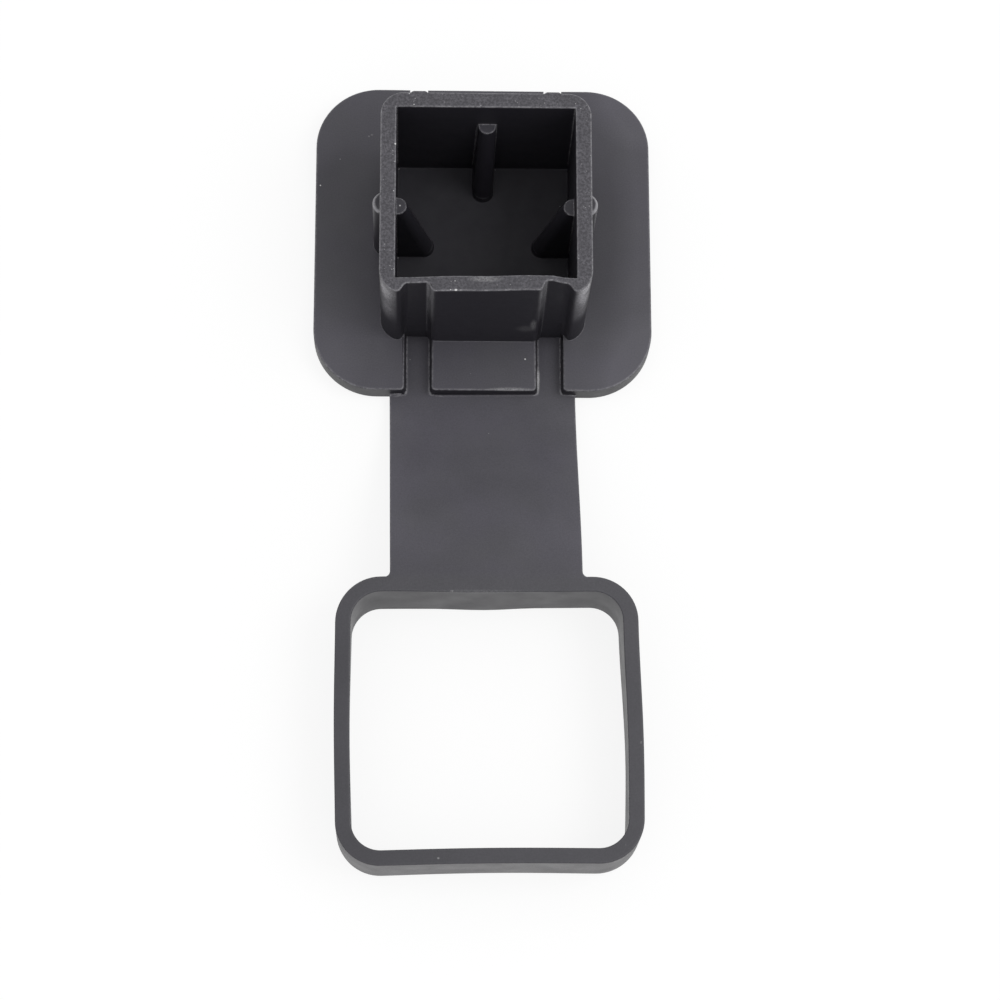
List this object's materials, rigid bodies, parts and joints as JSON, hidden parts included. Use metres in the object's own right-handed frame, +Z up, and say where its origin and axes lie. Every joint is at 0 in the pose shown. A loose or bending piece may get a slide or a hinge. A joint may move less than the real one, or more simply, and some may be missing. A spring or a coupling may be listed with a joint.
{
  "type": "hitch receiver cover",
  "caption": "Soft rubber cap for a tow bar's square receiver tube: flat plate, hollow plug with ribs and grooves, and a strap that ends in a deep square loop.",
  "frame": {"origin": "middle of the plate's front face, which lies on the surface the cover rests on", "axes": "+Z up the plug towards its open rim, -Y from the plate along the strap to the loop, +X across the plate"},
  "size_m": [0.08, 0.1901, 0.0405],
  "materials": {
    "rubber": "moulded charcoal rubber, matte satin"
  },
  "bodies": {
    "root": {"receiver_cover": "rubber"}
  },
  "joints": []
}
